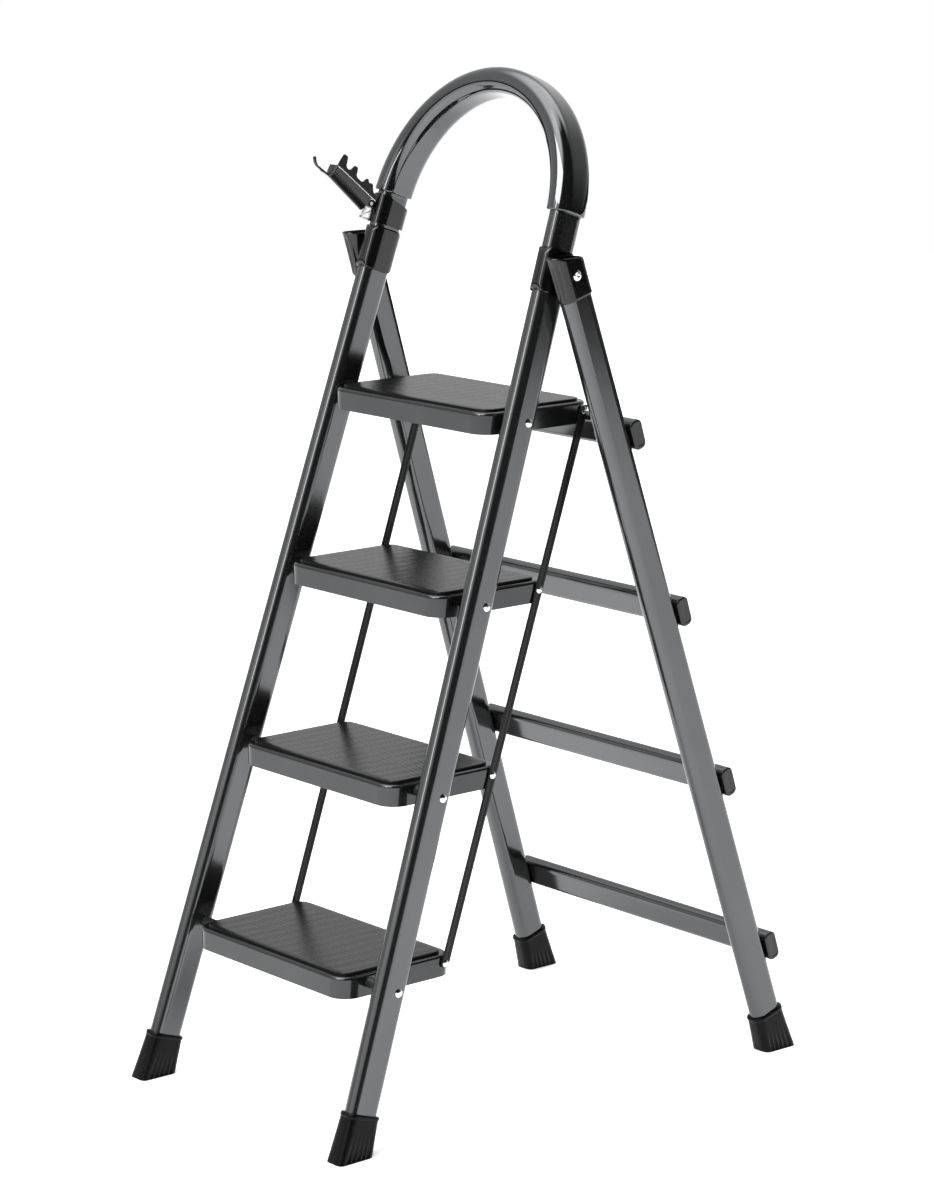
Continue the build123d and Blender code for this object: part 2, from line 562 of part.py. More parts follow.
with BuildPart() as tray_clamp:
    with BuildSketch(tube_plane(FRONT, -1, CLAMP_START)):
        SlotOverall(TUBE_DEEP + 2 * CLAMP_WALL, TUBE_THIN + 2 * CLAMP_WALL, rotation=90)
    extrude(amount=CLAMP_LENGTH)
    with BuildSketch(side_plane(FRONT, CLAMP_START)):
        with BuildLine():
            Polyline((-clamp_reach, CLAMP_LENGTH), (clamp_reach, CLAMP_LENGTH - CLAMP_REAR_DROP),
                     (clamp_reach, 2 * CLAMP_LENGTH), (-clamp_reach, 2 * CLAMP_LENGTH), close=True)
        make_face()
    extrude(amount=FRONT_HALF, both=True, mode=Mode.SUBTRACT)
    for ear_x in (KNUCKLE_X + EAR_GAP, KNUCKLE_X - KNUCKLE_WIDE - EAR_THICK - EAR_GAP):
        with BuildSketch(side_plane(FRONT, TRAY_AXIS_UP, ear_x)):
            with Locations((-TRAY_AXIS_OUT, 0)):
                Circle(KNUCKLE_RADIUS)
            with Locations(((EAR_ROOT - clamp_reach - TRAY_AXIS_OUT) / 2, 0)):
                Rectangle(TRAY_AXIS_OUT - clamp_reach + EAR_ROOT, 2 * KNUCKLE_RADIUS)
        extrude(amount=EAR_THICK)
    with BuildSketch(tube_plane(FRONT, -1, CLAMP_START)):
        SlotOverall(TUBE_DEEP + 2 * PLAY, TUBE_THIN + 2 * PLAY, rotation=90)
    extrude(amount=CLAMP_LENGTH, mode=Mode.SUBTRACT)
    with BuildSketch(cross_plane(0, tray_axis.Y, tray_axis.Z, -1)):
        Circle(TRAY_PIN_RADIUS + FIT)
    extrude(amount=FRONT_HALF, mode=Mode.SUBTRACT)
save(tray_clamp.part, "tray_clamp")

with BuildPart() as tray_pin:
    pin_x = KNUCKLE_X + EAR_GAP + PLAY
    reach = KNUCKLE_WIDE + EAR_THICK + 2 * (EAR_GAP + PLAY)
    pin_start = cross_plane(pin_x, tray_axis.Y, tray_axis.Z, -1)
    with BuildSketch(pin_start):
        Circle(TRAY_PIN_RADIUS)
    extrude(amount=-EAR_THICK)
    with BuildSketch(pin_start):
        Circle(TRAY_PIN_RADIUS)
    extrude(amount=reach)
    with BuildSketch(pin_start.offset(reach)):
        Circle(TRAY_HEAD_RADIUS)
    extrude(amount=TRAY_HEAD_DOME)
save(tray_pin.part, "tray_pin")


def tray_plane(x):
    """Side view of the tray: local X outwards along it, local Y out of its top, normal to the left."""
    slope = radians(TRAY_SLOPE)
    return Plane(origin=(x, tray_axis.Y, tray_axis.Z), x_dir=(0, -cos(slope), sin(slope)), z_dir=(-1, 0, 0))


def trough_section(along, deep, wall):
    """Half-ellipse across the tray, hung from its rim and set in by a wall thickness."""
    side_view = tray_plane(TRAY_EDGE_X)
    rim = side_view.from_local_coords((along, TRAY_RIM, 0))
    with BuildSketch(Plane(origin=rim, x_dir=(-1, 0, 0), z_dir=side_view.x_dir)) as section:
        with Locations((TRAY_WIDE / 2, 0)):
            Ellipse(TRAY_WIDE / 2 - wall, deep - wall)
            Rectangle(TRAY_WIDE, 2 * deep, align=(Align.CENTER, Align.MAX), mode=Mode.SUBTRACT)
    return section.sketch


# Tool tray: a round-bottomed trough, a notched strip for hanging tools and a thin hook at the far end
with BuildPart() as tool_tray:
    loft([trough_section(TRAY_NEAR, TRAY_DEEP_NEAR, 0), trough_section(TRAY_FAR, TRAY_DEEP_FAR, 0)])
    loft([trough_section(TRAY_NEAR + TRAY_WALL, TRAY_DEEP_NEAR, TRAY_WALL),
          trough_section(TRAY_FAR - TRAY_WALL, TRAY_DEEP_FAR, TRAY_WALL)], mode=Mode.SUBTRACT)
    with BuildSketch(tray_plane(TRAY_EDGE_X)):
        with BuildLine():
            Polyline(STRIP_FOOT, (TRAY_FAR, STRIP_FOOT[1]), (TRAY_FAR, STRIP_TOP), (STRIP_START, STRIP_TOP),
                     close=True)
        make_face()
        for start, end, top in TEETH:
            with Locations((start, STRIP_TOP - NOTCH_ROUND)):
                Rectangle(end - start, top - STRIP_TOP + NOTCH_ROUND, align=(Align.MIN, Align.MIN))
    extrude(amount=TRAY_WALL)
    with BuildSketch(tray_plane(TONGUE_X)):
        with BuildLine():
            Polyline(*TONGUE_PROFILE, close=True)
        make_face()
    extrude(amount=TONGUE_WIDE)
    with BuildSketch(tray_plane(KNUCKLE_X)):
        Circle(KNUCKLE_RADIUS)
        with Locations((KNUCKLE_LINK / 2, 0)):
            Rectangle(KNUCKLE_LINK, 2 * NOTCH_ROUND)
        Circle(TRAY_PIN_RADIUS + FIT, mode=Mode.SUBTRACT)
    extrude(amount=KNUCKLE_WIDE)
save(tool_tray.part, "tool_tray")

# Stay under the tray: an open triangle fixed to the front of the clamp
stay_front = -(clamp_reach + PLAY)

with BuildPart() as tray_stay:
    with BuildSketch(side_plane(FRONT, CLAMP_START, STAY_X)):
        with BuildLine():
            Polyline((stay_front, STAY_BASE), (stay_front - STAY_OUT, STAY_BASE),
                     (stay_front - STAY_TOP[0], STAY_TOP[1]), (stay_front, STAY_TOP[1]), close=True)
        make_face()
        offset(amount=-STAY_BAR, mode=Mode.SUBTRACT)
    extrude(amount=-STAY_THICK)
save(tray_stay.part, "tray_stay")
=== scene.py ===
import json
from math import atan2, ceil, cos, hypot, pi, radians, sin, sqrt, tan

import bpy
from mathutils import Matrix, Vector


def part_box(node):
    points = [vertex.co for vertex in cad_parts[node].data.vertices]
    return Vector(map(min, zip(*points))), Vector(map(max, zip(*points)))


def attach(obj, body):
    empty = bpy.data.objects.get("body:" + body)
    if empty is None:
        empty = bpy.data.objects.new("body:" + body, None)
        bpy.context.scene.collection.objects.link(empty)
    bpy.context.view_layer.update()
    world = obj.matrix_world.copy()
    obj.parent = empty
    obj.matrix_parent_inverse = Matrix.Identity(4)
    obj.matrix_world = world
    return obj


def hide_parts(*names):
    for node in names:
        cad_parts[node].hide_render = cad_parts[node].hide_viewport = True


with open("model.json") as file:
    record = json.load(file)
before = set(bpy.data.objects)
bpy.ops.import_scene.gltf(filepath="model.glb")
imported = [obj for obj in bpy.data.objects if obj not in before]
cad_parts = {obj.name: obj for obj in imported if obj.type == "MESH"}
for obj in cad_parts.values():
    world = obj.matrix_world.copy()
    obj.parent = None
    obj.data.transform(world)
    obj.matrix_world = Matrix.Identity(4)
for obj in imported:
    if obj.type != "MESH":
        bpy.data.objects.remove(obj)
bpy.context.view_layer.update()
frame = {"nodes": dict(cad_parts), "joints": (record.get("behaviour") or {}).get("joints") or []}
nodes = frame["nodes"]
joints = {joint["name"]: joint for joint in frame["joints"]}

SIDES = (("right", 1), ("left", -1))
MM = 0.001

# Frame lines and tube sizes, in metres and radians
FRONT_LEAN = radians(18.6)
REAR_LEAN = radians(-17.9)
FRONT_HALF = 0.209
FRONT_TAPER = radians(1.82)
REAR_HALF = 0.2428
REAR_TAPER = radians(1.93)
TUBE_DEEP = 0.045
TUBE_THIN = 0.025
TUBE_START = 0.024
PLAY = 0.0001
ARCH_CENTRE = 1.2

HINGE = Vector(joints["rear_frame_fold"]["pos_m"])
TRAY_AXIS = Vector(joints["tray_fold"]["pos_m"])
PIVOTS = {number: Vector(joints[f"tread_{number}_fold"]["pos_m"]) for number in range(1, 5)}
STRAP_SETBACK = joints["strap_right_turn"]["pos_m"][1] - PIVOTS[4].y


# ---------------------------------------------------------------- placing
def lean_frame(lean):
    """Frame plane: local X across the ladder, Y up along the tubes, Z out of the climbing side."""
    normal = Vector((0, -cos(lean), sin(lean)))
    up = Vector((0, sin(lean), cos(lean)))
    foot = Vector((0, HINGE.y - HINGE.z * tan(lean), 0))
    return Matrix.Translation(foot) @ Matrix((Vector((1, 0, 0)), up, normal)).transposed().to_4x4()


FRONT = lean_frame(FRONT_LEAN)
REAR = lean_frame(REAR_LEAN)


def half_spacing(plane, up):
    if plane is FRONT:
        return FRONT_HALF - up * tan(FRONT_TAPER)
    return REAR_HALF - up * tan(REAR_TAPER)


def tube_frame(plane, side, up):
    """Cross-section of a straight tube: local X across, Y to the rear, Z up along the tube."""
    taper = FRONT_TAPER if plane is FRONT else REAR_TAPER
    x_dir, y_dir = plane.col[0].to_3d(), plane.col[1].to_3d()
    across = x_dir * cos(taper) + y_dir * (side * sin(taper))
    axis = y_dir * cos(taper) - x_dir * (side * sin(taper))
    rear = axis.cross(across)
    centre = plane @ Vector((side * half_spacing(plane, up), up, 0))
    return Matrix.Translation(centre) @ Matrix((across, rear, axis)).transposed().to_4x4()


HINGE_UP_FRONT = HINGE.z / cos(FRONT_LEAN)
HINGE_UP_REAR = HINGE.z / cos(REAR_LEAN)
ARCH_RADIUS = (FRONT_HALF - ARCH_CENTRE * tan(FRONT_TAPER)) * cos(FRONT_TAPER)


# ---------------------------------------------------------------- meshes
def make_mesh(name, points, faces, sharp=35):
    mesh = bpy.data.meshes.new(name)
    mesh.from_pydata([tuple(p) for p in points], [], faces)
    mesh.validate()
    mesh.shade_smooth()
    mesh.set_sharp_from_angle(angle=radians(sharp))
    piece = bpy.data.objects.new(name, mesh)
    bpy.context.scene.collection.objects.link(piece)
    return piece


def loft(name, rings, looped=False, sharp=35):
    """Closed skin through rings of equal length; looped joins the last ring to the first."""
    count = len(rings[0])
    points = [p for ring in rings for p in ring]
    faces = []
    last = len(rings) if looped else len(rings) - 1
    for k in range(last):
        a, b = k * count, (k + 1) % len(rings) * count
        for i in range(count):
            j = (i + 1) % count
            faces.append((a + i, a + j, b + j, b + i))
    if not looped:
        faces.append(tuple(reversed(range(count))))
        faces.append(tuple(range(last * count, last * count + count)))
    return make_mesh(name, points, faces, sharp)


def outline(deep, thin, corner=None, arc=16, flat=1):
    """Flat-oval outline, or a rounded rectangle with a smaller corner; X across, Y to the rear."""
    wide, long = thin / 2, deep / 2
    corner = min(corner or wide, wide)
    quarter, straight = corner * pi / 2, 2 * (wide - corner)
    points = [(wide, (long - corner) * (2 * i / flat - 1)) for i in range(flat)]
    for i in range(arc):
        along = (2 * quarter + straight) * i / arc
        if along < quarter:
            angle = along / corner
            points.append((wide - corner + corner * cos(angle), long - corner + corner * sin(angle)))
        elif along < quarter + straight:
            points.append((wide - corner - (along - quarter), long))
        else:
            angle = (along - quarter - straight) / corner
            points.append((corner - wide - corner * sin(angle), long - corner + corner * cos(angle)))
    return points + [(-x, -y) for x, y in points]


def ring_at(matrix, points, height=0.0):
    return [matrix @ Vector((x, y, height)) for x, y in points]


def ease(value):
    value = min(1.0, max(0.0, value))
    return value * value * (3 - 2 * value)


# ---------------------------------------------------------------- materials
def new_material(name):
    material = bpy.data.materials.new(name)
    material.use_nodes = True
    tree = material.node_tree
    shader = tree.nodes["Principled BSDF"]
    place = tree.nodes.new("ShaderNodeTexCoord")
    return material, tree, shader, place.outputs["Object"]


def noise(tree, place, scale, detail, rough=0.5):
    node = tree.nodes.new("ShaderNodeTexNoise")
    node.inputs["Scale"].default_value = scale
    node.inputs["Detail"].default_value = detail
    node.inputs["Roughness"].default_value = rough
    tree.links.new(place, node.inputs["Vector"])
    return node.outputs["Fac"]


NOISE_LOW = 0.3
NOISE_HIGH = 0.7


def ramp(tree, value, low, high):
    node = tree.nodes.new("ShaderNodeValToRGB")
    node.color_ramp.elements[0].position = NOISE_LOW
    node.color_ramp.elements[0].color = low
    node.color_ramp.elements[1].position = NOISE_HIGH
    node.color_ramp.elements[1].color = high
    tree.links.new(value, node.inputs["Fac"])
    return node.outputs["Color"]


def span(tree, value, low, high):
    node = tree.nodes.new("ShaderNodeMapRange")
    node.inputs["From Min"].default_value = NOISE_LOW
    node.inputs["From Max"].default_value = NOISE_HIGH
    node.inputs["To Min"].default_value = low
    node.inputs["To Max"].default_value = high
    tree.links.new(value, node.inputs["Value"])
    return node.outputs["Result"]


def bump(tree, value, shader, distance):
    node = tree.nodes.new("ShaderNodeBump")
    node.inputs["Strength"].default_value = 1.0
    node.inputs["Distance"].default_value = distance
    tree.links.new(value, node.inputs["Height"])
    tree.links.new(node.outputs["Normal"], shader.inputs["Normal"])


def grey(level, warm=0.0):
    return (level * (1 + warm), level, level * (1 - warm), 1.0)


def finish_material(name, dark, light, rough, metallic=0.0, grain=900.0, depth=0.00002, patch=7.0,
                    specular=0.5, warm=-0.02):
    """A moulded or coated surface: faint colour patches, a fine grain in the roughness and the bump."""
    material, tree, shader, place = new_material(name)
    shader.inputs["Metallic"].default_value = metallic
    shader.inputs["Specular IOR Level"].default_value = specular
    cloud = noise(tree, place, patch, 5.0, 0.6)
    fine = noise(tree, place, grain, 2.0)
    tree.links.new(ramp(tree, cloud, grey(dark, warm), grey(light, warm)), shader.inputs["Base Color"])
    tree.links.new(span(tree, fine, rough[0], rough[1]), shader.inputs["Roughness"])
    bump(tree, fine, shader, depth)
    return material


paint = finish_material("charcoal_powder_coat", 0.095, 0.108, (0.11, 0.15), metallic=0.92, grain=1500.0,
                        depth=0.000006)
tread_paint = finish_material("tread_powder_coat", 0.052, 0.064, (0.14, 0.2), metallic=0.9, grain=1500.0,
                              depth=0.000006)
strap_paint = finish_material("strap_powder_coat", 0.010, 0.018, (0.25, 0.35), metallic=0.5, grain=900.0,
                              specular=0.3)
bracket_paint = finish_material("bracket_powder_coat", 0.04, 0.055, (0.3, 0.38), metallic=0.8, grain=900.0)
grip_plastic = finish_material("grip_gloss", 0.105, 0.12, (0.07, 0.09), metallic=0.95, grain=200.0,
                               depth=0.000003)
fitting = finish_material("fitting_gloss_black", 0.002, 0.004, (0.08, 0.14), grain=500.0, depth=0.000008,
                          specular=0.45)
rubber = finish_material("foot_rubber", 0.001, 0.002, (0.26, 0.36), grain=700.0, specular=0.12)
mat_rubber = finish_material("mat_rubber", 0.006, 0.010, (0.2, 0.28), grain=800.0, specular=0.22)
# Darker, rougher copy of the mat rubber for the mat's side walls and underside: painted shade for the dark
# band along its edge.
mat_side_painted_shade = finish_material("mat_side_painted_shade_rubber", 0.002, 0.003, (0.5, 0.6), grain=800.0, specular=0.2)
tray_plastic = finish_material("tray_plastic", 0.003, 0.006, (0.16, 0.24), grain=600.0, depth=0.00001)
nylon = finish_material("washer_nylon", 0.01, 0.016, (0.3, 0.4), grain=600.0)
zinc = finish_material("zinc_plate", 0.72, 0.82, (0.14, 0.24), metallic=1.0, grain=500.0, patch=90.0)
bare = finish_material("bare_aluminium", 0.75, 0.85, (0.25, 0.35), metallic=0.9, grain=500.0, patch=60.0)


def dress(name, material):
    mesh = nodes[name].data
    mesh.materials.clear()
    mesh.materials.append(material)


def put(piece, material, body, replaced):
    """Gives a new piece its material and body, and hides the CAD nodes it stands for."""
    if not piece.data.materials:
        piece.data.materials.append(material)
    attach(piece, body)
    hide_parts(*replaced)
    return piece


dress("front_tube", paint)
for side_name, _ in SIDES:
    dress(f"rear_leg_{side_name}", paint)
for number in range(1, 5):
    dress(f"crossbar_{number}", paint)
    dress(f"tread_pan_{number}", tread_paint)
    dress(f"tread_stiffener_{number}", tread_paint)
    dress(f"strap_rivets_{number}", zinc)
dress("tread_pivot_pins", zinc)
dress("crossbar_rivets", zinc)
dress("hook_rivets", zinc)
dress("tread_spacers", nylon)
dress("hinge_washers", nylon)
dress("spreader_hooks", bracket_paint)
dress("tray_pin", zinc)

# ---------------------------------------------------------------- grip
GRIP_WALL = 0.00475
GRIP_START = radians(3)
GRIP_STEPS = 96
GRIP_EDGE = 0.0022
GRIP_TURNS = 5


def grip_ring(angle, growth):
    """Ring of the grip's section at an angle round the arch, grown from the tube by the given amount."""
    out = Vector((cos(angle), sin(angle), 0))
    centre = FRONT @ (Vector((0, ARCH_CENTRE, 0)) + out * ARCH_RADIUS)
    across = FRONT.to_3x3() @ out
    along = FRONT.to_3x3() @ Vector((-sin(angle), cos(angle), 0))
    rear = along.cross(across)
    section = outline(TUBE_DEEP + 2 * growth, TUBE_THIN + 2 * growth, arc=24, flat=4)
    return [centre + across * x + rear * y for x, y in section]


ends = [(GRIP_EDGE * (1 - cos(pi / 2 * k / GRIP_TURNS)),
         GRIP_WALL - GRIP_EDGE * (1 - sin(pi / 2 * k / GRIP_TURNS))) for k in range(GRIP_TURNS + 1)]
start = GRIP_START + GRIP_EDGE / ARCH_RADIUS
rings = [grip_ring(GRIP_START, PLAY)]
rings += [grip_ring(GRIP_START + back / ARCH_RADIUS, grow) for back, grow in ends]
rings += [grip_ring(start + (pi - 2 * start) * k / GRIP_STEPS, GRIP_WALL) for k in range(1, GRIP_STEPS)]
rings += [grip_ring(pi - GRIP_START - back / ARCH_RADIUS, grow) for back, grow in reversed(ends)]
rings += [grip_ring(pi - GRIP_START - (pi - 2 * GRIP_START) * k / GRIP_STEPS, PLAY)
          for k in range(GRIP_STEPS)]
put(loft("grip_sleeve", rings, looped=True), grip_plastic, "front_frame", ["arch_grip"])

# ---------------------------------------------------------------- feet
BOOT_HEIGHT = 0.058
BOOT_WALL = 0.0018
BOOT_FLARE_THIN = 0.00175
BOOT_FLARE_DEEP = 0.0034
BOOT_LIP = 0.005
BOOT_LIP_WALL = 0.001
BOOT_SOLE_CORNER = 0.0065
BOOT_TOP_CORNER = 0.0105
BOOT_SOLE_SHRINK = 0.955
BOOT_SOLE_BEVEL = 0.0006
BOOT_SOLE_DRAW = 0.012
FLUTES = 5
FLUTE_DEPTH = 0.0016
FLUTE_TOP = 0.66
FLUTE_START = 0.02


def boot(name, plane, side):
    arc, flat = 18, 40
    low = tube_frame(plane, side, -TUBE_START)
    high = tube_frame(plane, side, BOOT_HEIGHT)
    deep, thin = TUBE_DEEP + 2 * BOOT_WALL, TUBE_THIN + 2 * BOOT_WALL
    sole = outline(deep + 2 * BOOT_FLARE_DEEP, thin + 2 * BOOT_FLARE_THIN, BOOT_SOLE_CORNER, arc, flat)
    top = outline(deep, thin, BOOT_TOP_CORNER, arc, flat)
    across = high.col[0].to_3d()
    starts, ends = [], []
    for (x0, y0), (x1, y1) in zip(sole, top):
        a, b = low @ Vector((x0, y0, 0)), high @ Vector((x1, y1, 0))
        starts.append(a + (b - a) * (-a.z / (b.z - a.z)))
        ends.append(b)
    middle = sum(starts, Vector()) / len(starts)
    rings = [[middle + (p - middle) * BOOT_SOLE_SHRINK for p in starts]]
    levels = [0.0, 0.012, 0.03, 0.06, 0.1, 0.16, 0.22, 0.28, 0.34, 0.4, 0.46, 0.52, 0.58, 0.64, 0.7,
              0.8, 0.9]
    count = len(starts)
    for level in levels:
        ring = []
        for i in range(count):
            p = starts[i].lerp(ends[i], level)
            if level == 0.0:
                p = p.lerp(middle, BOOT_SOLE_DRAW)
                p.z = BOOT_SOLE_BEVEL
            spot = i % (count // 2)
            if spot <= flat and FLUTE_START < level < FLUTE_TOP:
                wave = (0.5 - 0.5 * cos(2 * pi * FLUTES * spot / flat)) ** 0.7
                fade = 1 - ease(level / FLUTE_TOP)
                x_sign = 1 if i < count // 2 else -1
                rise = ease((level - FLUTE_START) / 0.06)
                p = p - across * (x_sign * FLUTE_DEPTH * wave * fade * rise)
            ring.append(p)
        rings.append(ring)
    lip_start = 1 - BOOT_LIP / BOOT_HEIGHT
    for level, grow in ((lip_start - 0.012, 0.0), (lip_start, 0.0004), (lip_start + 0.012, 0.0009),
                        (lip_start + 0.03, BOOT_LIP_WALL), (0.975, BOOT_LIP_WALL), (0.99, 0.0007),
                        (1.0, 0.0)):
        ring = []
        for i in range(count):
            p = starts[i].lerp(ends[i], level)
            centre = middle.lerp(high.translation, level)
            ring.append(p + (p - centre).normalized() * grow)
        rings.append(ring)
    inner = outline(TUBE_DEEP + 2 * PLAY, TUBE_THIN + 2 * PLAY, None, arc, flat)
    rings.append(ring_at(high, inner))
    rings.append(ring_at(tube_frame(plane, side, TUBE_START), inner))
    return loft(name, rings, sharp=40)


for plane, place_name in ((FRONT, "front"), (REAR, "rear")):
    for side_name, side in SIDES:
        put(boot(f"boot_{place_name}_{side_name}", plane, side), rubber, f"{place_name}_frame",
            [f"{place_name}_foot_{side_name}"])

# ---------------------------------------------------------------- hinge collars
COLLAR_LENGTH = 0.057
COLLAR_WALL = 0.003
COLLAR_CORNER = 0.015
COLLAR_FRONT_SHARE = 0.55
EDGE = 0.0008


def sleeve(name, matrix, length, wall, limit):
    """Sleeve round a tube. limit(height) gives the rear and front reach of its side outline."""
    arc, flat = 20, 6
    heights = [0.0, 0.0003, EDGE, 0.002, 0.0035, 0.0055, 0.008, 0.011, length / 2]
    heights += [length - h for h in reversed(heights[:-1])]
    section = outline(TUBE_DEEP + 2 * wall, TUBE_THIN + 2 * wall, None, arc, flat)
    hole = outline(TUBE_DEEP + 2 * PLAY, TUBE_THIN + 2 * PLAY, None, arc, flat)
    rings = [ring_at(matrix, hole, 0.0)]
    for height in heights:
        near = min(height, length - height)
        inset = 0.0
        if near < EDGE:
            inset = EDGE - sqrt(max(0.0, EDGE * EDGE - max(0.0, EDGE - near) ** 2))
        low, high = limit(height)
        ring = []
        for x, y in section:
            shrink = 1 - inset / (TUBE_THIN / 2 + wall)
            ring.append(matrix @ Vector((x * shrink, min(max(y * shrink, low), high), height)))
        rings.append(ring)
    rings.append(ring_at(matrix, hole, length))
    return loft(name, rings, looped=True)


def rounded_limit(length, reach, corner):
    def limit(height):
        near = min(height, length - height)
        cut = 0.0 if near >= corner else corner - sqrt(corner * corner - (corner - near) ** 2)
        return -reach + cut * COLLAR_FRONT_SHARE, reach - cut
    return limit


for side_name, side in SIDES:
    start = tube_frame(FRONT, side, HINGE_UP_FRONT - COLLAR_LENGTH / 2)
    collar = sleeve(f"collar_{side_name}", start, COLLAR_LENGTH, COLLAR_WALL,
                    rounded_limit(COLLAR_LENGTH, TUBE_DEEP / 2 + COLLAR_WALL, COLLAR_CORNER))
    put(collar, fitting, "front_frame", [f"hinge_collar_{side_name}"])

# ---------------------------------------------------------------- rear leg caps
CAP_WALL = 0.0022
CAP_BELOW = 0.031
CAP_ABOVE = 0.022
CAP_RECESS = 0.003
CAP_GROOVES = (-0.62, 0.0, 0.62)
CAP_GROOVE_WIDE = 0.2
CAP_GROOVE_DEPTH = 0.0016


def leg_cap(name, side):
    arc, flat = 44, 6
    start = tube_frame(REAR, side, HINGE_UP_REAR - CAP_BELOW)
    section = outline(TUBE_DEEP + 2 * CAP_WALL, TUBE_THIN + 2 * CAP_WALL, None, arc, flat)
    inner = outline(TUBE_DEEP, TUBE_THIN, None, arc, flat)
    hole = outline(TUBE_DEEP + 2 * PLAY, TUBE_THIN + 2 * PLAY, None, arc, flat)
    offset = (TUBE_DEEP - TUBE_THIN) / 2
    axis = start.col[2].to_3d()

    def cut(x, y, share, drop):
        """Point of a vertical line of the cap: 0 at its foot, 1 at the crown less a drop."""
        foot = start @ Vector((x, y, 0))
        reach = (HINGE.z + CAP_ABOVE - drop - foot.z) / axis.z
        return foot + axis * (reach * share)

    rings = [ring_at(start, hole, 0.012), ring_at(start, hole, 0.0)]
    plain = (0.016, 0.06, 0.11, 0.16, 0.24, 0.4, 0.56, 0.7, 0.78, 0.84, 0.89, 0.93, 0.975)
    levels = [(0.0, EDGE), (0.007, EDGE * 0.4)] + [(share, 0.0) for share in plain]
    levels += [(0.988, EDGE * 0.3), (1.0, EDGE * 1.2)]
    for share, inset in levels:
        fade = ease((share - 0.07) / 0.1) * (1 - ease((share - 0.82) / 0.1))
        ring = []
        for x, y in section:
            end = -1 if y < 0 else 1
            round_part = abs(y) > offset
            angle = atan2(x, abs(y) - offset) if round_part else pi / 2
            notch = sum(ease(1 - abs(angle - groove) / CAP_GROOVE_WIDE) for groove in CAP_GROOVES)
            pull = inset + CAP_GROOVE_DEPTH * notch * fade
            radius = hypot(x, abs(y) - offset) if round_part else abs(x)
            keep = (radius - pull) / radius
            deep = end * (offset + (abs(y) - offset) * keep) if round_part else y
            ring.append(cut(x * keep, deep, share, 0.0))
        rings.append(ring)
    for shrink, drop in ((1.0, 0.0002), (0.985, 0.0012), (0.965, CAP_RECESS), (0.6, CAP_RECESS + 0.0003),
                         (0.3, CAP_RECESS + 0.0005)):
        rings.append([cut(x * shrink, y * shrink, 1.0, drop) for x, y in inner])
    return loft(name, rings, sharp=40)


for side_name, side in SIDES:
    put(leg_cap(f"leg_cap_{side_name}", side), fitting, "rear_frame",
        [f"rear_cap_{side_name}"])


# ---------------------------------------------------------------- turned pieces
def turned(name, origin, axis, profile, segments=28, sharp=30):
    """Solid of revolution from (radius, distance along the axis) pairs, which start and end on the axis."""
    axis = Vector(axis).normalized()
    side = axis.orthogonal().normalized()
    third = axis.cross(side)
    points = [Vector(origin) + axis * profile[0][1]]
    faces = []
    inner = profile[1:-1]
    for radius, along in inner:
        for i in range(segments):
            angle = 2 * pi * i / segments
            points.append(Vector(origin) + axis * along + (side * cos(angle) + third * sin(angle)) * radius)
    points.append(Vector(origin) + axis * profile[-1][1])
    for i in range(segments):
        j = (i + 1) % segments
        faces.append((0, 1 + j, 1 + i))
        for k in range(len(inner) - 1):
            a, b = 1 + k * segments, 1 + (k + 1) * segments
            faces.append((a + i, a + j, b + j, b + i))
        a = 1 + (len(inner) - 1) * segments
        faces.append((a + i, a + j, len(points) - 1))
    return make_mesh(name, points, faces, sharp)


PIN_RADIUS = 0.004
for side_name, side in SIDES:
    low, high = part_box(f"hinge_pin_{side_name}")
    length = high.x - low.x
    start = Vector((low.x if side > 0 else high.x, HINGE.y, HINGE.z))
    profile = [(0, 0.0034), (0.0034, 0.0034), (PIN_RADIUS, 0.0037),
               (PIN_RADIUS, length - 0.0030), (0.0065, length - 0.0028), (0.0065, length - 0.0021),
               (0.0054, length - 0.0014), (0.0042, length - 0.0011), (0.0038, length - 0.0004),
               (0.0026, length), (0.0018, length - 0.0004), (0.0008, length - 0.0009), (0, length - 0.0009)]
    pin = turned(f"pin_{side_name}", start, (side, 0, 0), profile, 40)
    pin.data.materials.append(zinc)
    pin.data.materials.append(fitting)
    middle_x = (low.x + high.x) / 2
    for polygon in pin.data.polygons:
        if side * (polygon.center.x - middle_x) < 0:
            polygon.material_index = 1
    put(pin, zinc, "front_frame", [f"hinge_pin_{side_name}"])

# ---------------------------------------------------------------- mats
MAT_PITCH = 0.0055
MAT_RIB = 0.00022
MAT_SWAY = 0.0007
MAT_SWAY_LENGTH = 0.052
MAT_SWELL = 0.00008
MAT_SWELL_RIBS = 4
MAT_SWELL_SWAY = 2.2 * MAT_SWAY
MAT_SWELL_LENGTH = 0.11
MAT_EDGE = 0.0050
MAT_EDGE_START = 0.0015
MAT_CORNER = 0.017
MAT_INSET = 0.0009
MAT_INSET_SLOPE = 0.8
MAT_CLEAR = 0.00025
MAT_ROWS = 48
MAT_RIB_STEPS = 6


